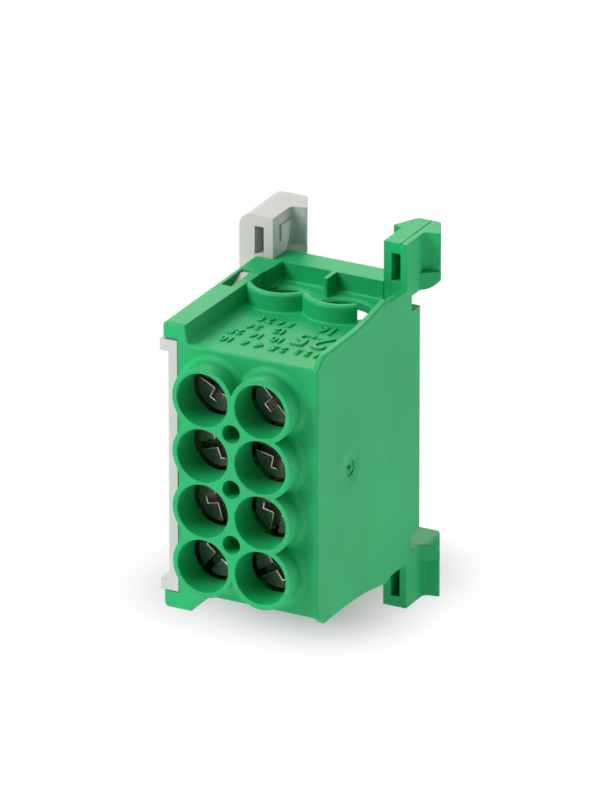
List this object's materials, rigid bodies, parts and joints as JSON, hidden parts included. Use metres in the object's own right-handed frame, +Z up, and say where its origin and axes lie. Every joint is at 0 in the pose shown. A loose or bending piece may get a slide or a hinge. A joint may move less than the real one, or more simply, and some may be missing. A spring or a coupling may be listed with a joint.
{
  "type": "power distribution block",
  "caption": "Moulded single-pole branch terminal block with screw wells in its front, a brass terminal body, an end plate and plug-in feet behind.",
  "frame": {"origin": "centre of the four plug-in feet, in the plane of their rear faces", "axes": "+X to the right across the pole, +Y from the front face to the mounting panel, +Z up"},
  "size_m": [0.0357, 0.0501, 0.0688],
  "materials": {
    "housing_green": "moulded polyamide with a fine matt texture",
    "end_plate_grey": "moulded polyamide with a fine matt texture",
    "terminal_brass": "bright drawn brass",
    "screw_steel": "zinc-plated and yellow-passivated steel"
  },
  "bodies": {
    "root": {"housing": "housing_green", "end_plate": "end_plate_grey", "terminal_body": "terminal_brass", "clamp_screw_left_1": "screw_steel", "clamp_screw_left_2": "screw_steel", "clamp_screw_left_3": "screw_steel", "clamp_screw_left_4": "screw_steel", "clamp_screw_right_1": "screw_steel", "clamp_screw_right_2": "screw_steel", "clamp_screw_right_3": "screw_steel", "clamp_screw_right_4": "screw_steel"}
  },
  "joints": []
}
